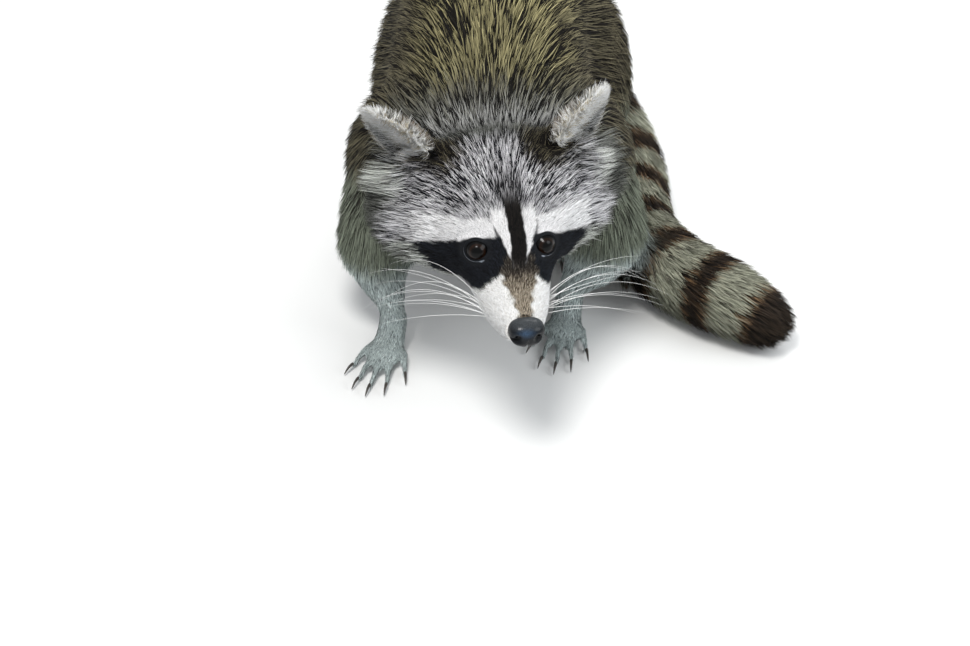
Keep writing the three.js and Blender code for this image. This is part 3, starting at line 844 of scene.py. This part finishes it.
# how each tuft lies: its length, its height over the skin, and its width
s, m, _ = ear_place(root, root_normal)
on_head, on_ear, on_fore = (part(root_share, kind) for kind in ("head", "ear", "fore"))
ruff = on_head * ease(32, 58, side) * ease(4, -22, f)
fringe = on_ear * ease(0.1, 0.6, m) * ease(1.0, 0.75, s) * ease(0.02, 0.18, s)
for name in EARS:
    _, _, axis, opening, inward = ear_frame(name)
    mine = x * SIDES[name] > 0
    way[mine] += (fringe[mine, None] * (inward * 1.5 + opening * 0.2))
way = unit(way)
length = of(root_share, head=0, ear=5.5, neck=24, trunk=31, arm=29, fore=0, foot=4.2, tail=27)
length += on_head * (2.4 + 10 * ease(4, -40, f)) + 17 * ruff + 4.5 * fringe
length += on_fore * (4.0 + 20 * ease(38, 84, root_height))
height = np.clip(root_depth, 0.35, None) * (0.55 + 0.45 * rng.random(total) ** 0.5 + 0.7 * ruff)
height = height + 6 * fringe * rng.random(total) + 1.5 * on_ear * rng.random(total)
height = np.minimum(height, 0.8 * length)
length = length * (0.75 + 0.5 * rng.random(total))
width = of(root_share, head=0.44, ear=0.34, neck=0.72, trunk=0.88, arm=0.82, fore=0.65, foot=0.55, tail=0.8)
width -= 0.08 * on_head * ease(-30, 0, f)
width = width * (0.65 + 0.7 * rng.random(total))
reach = np.sqrt(np.maximum(length**2 - height**2, (0.3 * length) ** 2))

# tips lean together in locks
tip = root + way * (reach * MM)[:, None] + root_normal * (height * MM)[:, None]
tip = tip + rng.normal(size=(total, 3)) * (length * 0.085 * MM)[:, None]
LOCK_SIZE = 16  # tufts
leaders = rng.choice(total, total // LOCK_SIZE, replace=False)
leader_tree = tree_of(tip[leaders])
lock = np.array([leader_tree.find(p)[1] for p in tip])
pull = of(root_share, head=0.4, ear=0.1, neck=0.45, trunk=0.5, arm=0.5, fore=0.35, foot=0.05, tail=0.4)
pull -= 0.33 * on_head * ease(-30, -4, f)
tip = tip + (tip[leaders][lock] - tip) * pull[:, None]

# a tip follows the curve of the body, and stays over the floor
hide = BVHTree.FromPolygons(skin.points.tolist(), tri.tolist())
for i in range(total):
    where, facing, _, _ = hide.find_nearest(tip[i])
    gap = (Vector(tip[i]) - where).dot(facing)
    want = height[i] * MM
    tip[i] += np.array(facing) * (want - gap) * (0.85 if gap > want else 1.0)
droop = of(root_share, head=0.15, ear=0, neck=1, trunk=1, arm=1, fore=0.6, foot=0, tail=0.4)
tip[:, 2] -= length * MM * 0.12 * droop
TIP_CLEARANCE, BEND_CLEARANCE, ROOT_SINK = 0.0006, 0.0009, 0.0005
tip[:, 2] = np.maximum(tip[:, 2], ORIGIN[2] + TIP_CLEARANCE)

# each tuft's colour
reached = 0.75 - 0.27 * (on_head * ease(-30, -4, f))[:, None]
tone, dark, head_share = marked(root * (1 - reached) + tip * reached, root_normal, root_share)
lock_shade = rng.normal(size=len(leaders))[lock]
is_dark = chance < np.clip(dark + 0.16 * lock_shade * ease(0, 0.3, dark), 0, 0.9)
tone[is_dark, 1:3] = tone[is_dark, 3:5]
bright = np.exp(0.15 * rng.normal(size=total) + 0.13 * lock_shade * (1 - 0.6 * head_share))
tone = np.clip(tone[:, :3] * bright[:, None, None], 0.002, 0.97)

# a long tuft is a bent spindle of 6 faces, a short one a thorn of 4, each closed, its root under the skin
run = unit(tip - root)
across = unit(np.cross(root_normal, run) + 0.35 * rng.normal(size=(total, 3)))
across = unit(across - run * (across * run).sum(1)[:, None])
upward = unit(np.cross(run, across))
seed = rng.random(total) * 1000
PATCH = 0.003  # the side of a tuft's patch of the OFBake sheet
SECTION = ((-0.5, 0.16), (0.5, 0.16), (0.0, -0.36))  # a tuft's three-cornered section, in widths
LONG = 8.5  # millimetres
# Which tufts, and for each vertex its stage (0 root, 1 middle, 2 tip), the faces, the places on the OFBake
# patch, and the places across the hair's grain.
FORMS = {
    "long": (length > LONG, (0, 1, 1, 1, 2),
             ((0, 1, 2), (0, 2, 3), (0, 3, 1), (2, 1, 4), (3, 2, 4), (1, 3, 4)),
             ((0, -0.5), (-0.5, 0), (0.5, 0), (0.1, 0.1), (0, 0.5)), (0.5, 0, 1, 0.5, 0.5)),
    "short": (length <= LONG, (0, 0, 0, 2),
              ((0, 1, 2), (1, 0, 3), (2, 1, 3), (0, 2, 3)),
              ((-0.5, -0.5), (0.5, -0.5), (0.1, -0.35), (0, 0.5)), (0, 1, 0.5, 0.5)),
}


def tufts(form, mine):
    """Arrays of some tufts: faces, points, normals, UV places, colours and the grain of the hair."""
    _, stage, faces, patch, place = FORMS[form]
    stage, faces, patch, place = (np.array(values) for values in (stage, faces, patch, place))
    base, top = root[mine] - root_normal[mine] * ROOT_SINK, tip[mine]
    middle = base * 0.6 + top * 0.4 + root_normal[mine] * (height[mine] * MM * 0.30)[:, None]
    middle[:, 2] = np.maximum(middle[:, 2], ORIGIN[2] + BEND_CLEARANCE)
    spine = np.stack([base, middle, top], 1)[:, stage]
    points = spine.copy()
    wide = np.flatnonzero(stage == (1 if form == "long" else 0))
    for k, (cx, cy) in zip(wide, SECTION):
        points[:, k] += (across[mine] * cx + upward[mine] * cy) * (width[mine] * MM)[:, None]
    start = tone[mine, 0] if form == "long" else tone[mine, 1]
    bend = tone[mine, 1] * 0.45 + tone[mine, 2] * 0.55
    colour = np.stack([start, bend, tone[mine, 2]], 1)[:, stage]
    own = unit(points - spine + upward[mine, None] * 1e-5)
    lit = unit(root_normal[mine] + (0, -0.7, 1.8) * on_ear[mine, None])
    normals = unit(own * 0.4 + (lit * 0.7 + upward[mine] * 0.3)[:, None])
    grain = np.empty_like(points)
    grain[:, :, 0] = place * 3.2 + seed[mine][:, None]
    grain[:, :, 1] = stage * 0.8
    grain[:, :, 2] = (seed[mine] * 0.37)[:, None]
    spots = np.clip(root_uv[mine][:, None] + patch * PATCH, 0.0005, 0.9995)
    flat = (faces + len(stage) * np.arange(len(mine))[:, None, None]).reshape(-1, 3)
    return [flat] + [a.reshape(-1, a.shape[-1]) for a in (points, normals, spots, colour, grain)]


hair = coat_material()
PIECE_TRIANGLES = 190000  # at most
pieces = math.ceil(np.where(length > LONG, 6, 4).sum() / PIECE_TRIANGLES)
for k in range(pieces):
    name = f"coat_{k + 1}"
    mine = np.arange(k, total, pieces)
    a, b = (tufts(form, mine[FORMS[form][0][mine]]) for form in FORMS)
    b[0] = b[0] + len(a[1])
    faces, points, normals, spots, colour, grain = (np.concatenate(pair) for pair in zip(a, b))
    mesh = mesh_of(name, points, [faces])
    mesh.uv_layers.new(name="OFBake").data.foreach_set("uv", spots[faces.ravel()].astype(np.float32).ravel())
    paint(mesh, colour)
    place_vectors(mesh, "strand", grain)
    mesh.normals_split_custom_set_from_vertices(normals)
    piece(name, mesh, "coat", material=hair)

# ---- eyes ----


def ball(segments, rings):
    bm = bmesh.new()
    bmesh.ops.create_uvsphere(bm, u_segments=segments, v_segments=rings, radius=1)
    mesh = bpy.data.meshes.new("ball")
    bm.to_mesh(mesh)
    bm.free()
    return arrays_of(mesh)


def eye_material():
    m = Shader("eye", Roughness=0.34, Specular_IOR_Level=0.05, Coat_Weight=0.24, Coat_Roughness=0.11)
    polar = m.attribute("polar", "Fac")
    streak = m.node("TexNoise", {"Vector": m.attribute("streak", "Vector"), "Scale": 1.0, "Detail": 2.0})
    pupil = (0.0003, 0.0003, 0.0003)
    iris = m.ramp(polar, (0.0, pupil), (0.24, pupil), (0.29, (0.004, 0.0018, 0.001)),
                  (0.42, (0.012, 0.005, 0.0022)), (0.50, (0.001, 0.001, 0.001)), (1.0, (0.002, 0.001, 0.001)))
    fleck = m.ramp(streak.outputs[0], (0.3, (0.6, 0.6, 0.6)), (0.7, (1.4, 1.3, 1.2)))
    m.set("Base Color", m.times(iris, fleck))
    return m.material


eye_look = eye_material()
for name in SIDES:
    p, quads = ball(64, 40)
    gaze = unit(head_dir(0.22 * SIDES[name], 0.8, 0.42))
    e1 = unit(np.cross(gaze, (0, 0, 1)))
    e2 = np.cross(e1, gaze)
    polar = np.degrees(np.arccos(np.clip(p[:, 2], -1, 1)))
    radius = EYE_RADIUS - 0.1 + 0.45 * ease(44, 20, polar)
    world = EYE[name] + (p[:, :1] * e1 + p[:, 1:2] * e2 + p[:, 2:] * gaze) * (radius * MM)[:, None]
    mesh = mesh_of("eyeball_" + name, world, quads)
    values = mesh.attributes.new("polar", "FLOAT", "POINT")
    values.data.foreach_set("value", (polar / 90).astype(np.float32))
    turn = np.arctan2(p[:, 1], p[:, 0])
    place_vectors(mesh, "streak", np.c_[np.cos(turn) * 9, np.sin(turn) * 9, polar / 40])
    piece("eyeball_" + name, mesh, "eye", "eye_" + name, material=eye_look)

# ---- nose ----


def nose_material():
    m = Shader("nose_leather", Roughness=0.5, Specular_IOR_Level=0.05, Coat_Weight=0.32, Coat_Roughness=0.22)
    return m.textured("Voronoi", m.object_place(), (0.0, (1.3, 1.3, 1.3)), (0.8, (0.6, 0.6, 0.6)),
                      toned=True, bump=(0.35, 0.0002), Scale=1500.0)


p, quads = ball(120, 80)
SQUARENESS = 2.5
p = p / (np.abs(p) ** SQUARENESS).sum(1, keepdims=True) ** (1 / SQUARENESS)
nx, nu, nf = p.T  # the ball's pole forward
px = nx * 11.0 * (1 + 0.16 * nu)
pf = nf * 8.6 - 1.6 * np.clip(-nu, 0, 1) ** 2
pu = nu * 9.2
groove = np.exp(-((px / 0.7) ** 2)) * ease(3, -3, pu) * ease(1, 5, pf)
pf = pf - 1.3 * groove
nostril = np.zeros(len(p))
for s in (-1, 1):
    pit = np.exp(-(((px * s - 6.6) / 2.1) ** 2) - (((pu - 1.6) / 2.2) ** 2)) * (nf > 0)
    slit = np.exp(-(((px * s - 9.6) / 2.6) ** 2) - (((pu + 0.6) / 1.1) ** 2)) * (nf > -0.35)
    nostril = np.maximum(nostril, np.clip(1.3 * pit + slit, 0, 1))
px, pf, pu = px * (1 - 0.16 * nostril), pf * (1 - 0.42 * nostril), pu * (1 - 0.06 * nostril)
world = head_point(1.4 + px, 53.8 + pf, -21.6 + pu)
top = ease(3.5, 9.5, pu - 0.35 * pf)[:, None]
# painted highlight: a soft bluish sheen is painted into the pad's colour on its front
painted_sheen = np.exp(-(((px + 1.7) / 4.6) ** 2) - (((face_height(pf, pu) + 0.9) / 2.4) ** 2)) * ease(3, 6, pu + pf)
leather_and_painted_light = np.array((0.0030, 0.0038, 0.0055)) + top * np.array((0.040, 0.044, 0.046))
leather_and_painted_light = leather_and_painted_light + painted_sheen[:, None] * np.array((0.030, 0.055, 0.095))
# painted shade: the nostrils' pits are painted far darker than the pad
leather_and_painted_light = leather_and_painted_light * (1 - 0.9 * nostril[:, None])
nose_mesh = mesh_of("nose_pad", world, quads)
paint(nose_mesh, leather_and_painted_light)
piece("nose_pad", nose_mesh, "nose", "nose", material=nose_material())

# ---- claws ----


def claw_material():
    m = Shader("claw_horn", Roughness=0.35, Specular_IOR_Level=0.5)
    return m.textured("Noise", m.object_place(), (0.3, (0.018, 0.015, 0.013)), (0.7, (0.060, 0.050, 0.042)),
                      bump=(0.2, 0.0003), Scale=700.0, Detail=3.0)


claw_nodes = [n for n in nodes if n.startswith("claw_")]
claws = []
for name in claw_nodes:
    p, triangles = node_arrays(name, 2e-4)
    p, (quads,) = changed(p, [triangles], "SUBSURF", levels=2)
    claws.append((p, quads))
points, faces = joined(claws)
piece("claws", mesh_of("claws", points, [faces]), "claw", *claw_nodes, material=claw_material())

# ---- whiskers ----


def whisker_material():
    m = Shader("whisker", Base_Color=(0.9, 0.9, 0.88, 1), Roughness=0.35)
    return m.textured("Noise", m.object_place(), (0.3, (0.75, 0.75, 0.73)), (0.7, (0.95, 0.95, 0.93)),
                      Scale=60.0)


def hair_tube(start, way, length, bend, thick, steps=14, sides=5):
    """A tapering hair that leaves along `way` and curves by `bend`, in metres."""
    t = np.linspace(0, 1, steps)[:, None]
    spine = start + way * length * t + bend * length * t**2
    tangent = unit(np.gradient(spine, axis=0))
    e1 = unit(np.cross(tangent, (0.13, 0.21, 0.97)))
    e2 = np.cross(tangent, e1)
    turn = np.arange(sides) * 2 * np.pi / sides
    r = thick / 2 * (1 - 0.88 * t)[:, :, None]
    circle = np.cos(turn)[None, :, None] * e1[:, None] + np.sin(turn)[None, :, None] * e2[:, None]
    p = np.concatenate([(spine[:, None] + r * circle).reshape(-1, 3), spine[:1], spine[-1:]])
    k = np.arange(sides)
    after = (k + 1) % sides
    band = np.stack([k, after, sides + after, sides + k], 1)
    quads = np.concatenate([i * sides + band for i in range(steps - 1)])
    last = (steps - 1) * sides
    start_cap = np.stack([np.full(sides, steps * sides), after, k], 1)
    end_cap = np.stack([np.full(sides, steps * sides + 1), last + k, last + after], 1)
    return p, np.concatenate([quads[:, [0, 1, 2]], quads[:, [0, 2, 3]], start_cap, end_cap])


PICTURE_UP = np.array((0, 0.616, 0.788))  # what is upward in the photo
WHISKER_THICK = 0.36 * MM
whiskers = []
for name, s in SIDES.items():
    for i in range(12):
        rank, file = divmod(i, 3)
        forward, up = 39 - 5.5 * rank + rng.normal() * 0.8, -21 - 3.4 * file + rng.normal() * 0.6
        guess = head_point(s * 30, forward, up)
        start = np.array(hide.find_nearest(guess)[0])
        out = np.array((0.8 * s, 0, 0)) + PICTURE_UP * (0.72 - 0.24 * file + 0.06 * rng.normal())
        out += np.array((0, 0.10 * rank - 0.15, 0)) + 0.05 * rng.normal(size=3)
        reach = (92 - 15 * file - 4 * rank + 10 * rng.random()) * MM
        bend = PICTURE_UP * (-0.46 + 0.12 * file + 0.06 * rng.normal())
        whiskers.append(hair_tube(start, unit(out), reach, bend, WHISKER_THICK))
points, faces = joined(whiskers)
piece("whiskers", mesh_of("whiskers", points, [faces]), "face", material=whisker_material())

# ---- floor, light and camera ----


def floor_material():
    """Pale paint that goes over to plain white away from the model, so that no edge shows."""
    m = Shader("floor_paint", Base_Color=(0.80, 0.80, 0.79, 1), Roughness=0.85)
    away = m.node("VectorMath", {0: m.object_place()}, operation="LENGTH").outputs["Value"]
    far = m.node("MapRange", {0: away, 1: 0.35, 2: 1.0}, interpolation_type="SMOOTHSTEP").outputs[0]
    camera_ray = m.node("LightPath").outputs["Is Camera Ray"]
    seen = m.node("Math", {0: far, 1: camera_ray}, operation="MULTIPLY").outputs[0]
    glow = m.node("Emission", {"Color": (1, 1, 1, 1), "Strength": 1.0}).outputs[0]
    both = m.node("MixShader", {0: seen, 1: m.shader.outputs[0], 2: glow}).outputs[0]
    m.tree.links.new(both, m.tree.nodes["Material Output"].inputs["Surface"])
    return m.material


corners = 6.0 * np.array(((-1, -1, 0), (1, -1, 0), (1, 1, 0), (-1, 1, 0)))
floor_mesh = mesh_of("floor", corners, [np.array([[0, 1, 2, 3]])])
floor = bpy.data.objects.new("floor", floor_mesh)
bpy.context.scene.collection.objects.link(floor)
floor_mesh.materials.append(floor_material())
floor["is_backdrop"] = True

world = bpy.data.worlds.new("studio")
bpy.context.scene.world = world
world.use_nodes = True
studio = Nodes(world.node_tree)
sky = world.node_tree.nodes["Background"]
sky.inputs["Color"].default_value = (0.93, 0.96, 1.0, 1)
sky.inputs["Strength"].default_value = 0.66
white = studio.node("Background", {"Color": (1, 1, 1, 1), "Strength": 1.0})
path = studio.node("LightPath").outputs
seen = studio.node("Math", {0: path["Is Camera Ray"], 1: path["Is Transmission Ray"]}, operation="MAXIMUM")
blend = studio.node("MixShader", {0: seen.outputs[0], 1: sky.outputs[0], 2: white.outputs[0]})
studio.tree.links.new(blend.outputs[0], studio.tree.nodes["World Output"].inputs["Surface"])


def lamp(name, place, aim, size, power, colour=(1, 1, 1)):
    data = bpy.data.lights.new(name, "AREA")
    data.shape = "DISK"
    data.size = size
    data.energy = power
    data.color = colour
    ob = bpy.data.objects.new(name, data)
    ob.location = place
    ob.rotation_euler = (Vector(aim) - Vector(place)).to_track_quat("-Z", "Y").to_euler()
    bpy.context.scene.collection.objects.link(ob)


lamp("key", (-0.35, -0.75, 2.1), (0, -0.05, 0.1), 0.7, 33, (1, 0.99, 0.97))
lamp("fill", (1.3, -0.6, 1.1), (0, 0, 0.1), 1.2, 14, (0.95, 0.98, 1))
lamp("rim", (0.4, 1.4, 1.3), (0, 0, 0.15), 0.9, 12)

CAMERA_RISE = math.radians(38)
DISTANCE = 2.0
OFF_AXIS = (0.0156, 0.0481)  # where the middle of the eyes lies from the picture's centre, right and up
ahead = np.array((0, math.cos(CAMERA_RISE), -math.sin(CAMERA_RISE)))
right = np.array((1.0, 0, 0))
up = np.cross(right, ahead)
camera = bpy.data.cameras.new("camera")
camera.sensor_width = 36
camera.lens = 118.8
camera.clip_end = 50
eye_point = bpy.data.objects.new("camera", camera)
eye_point.location = BETWEEN_EYES - right * OFF_AXIS[0] - up * OFF_AXIS[1] - ahead * DISTANCE
eye_point.rotation_euler = (math.pi / 2 - CAMERA_RISE, 0, 0)
bpy.context.scene.collection.objects.link(eye_point)
bpy.context.scene.camera = eye_point
bpy.context.scene.view_settings.view_transform = "Standard"

own_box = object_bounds()
plain = [[[float(v) for v in corner] for corner in box] for box in (cad_box, own_box)]
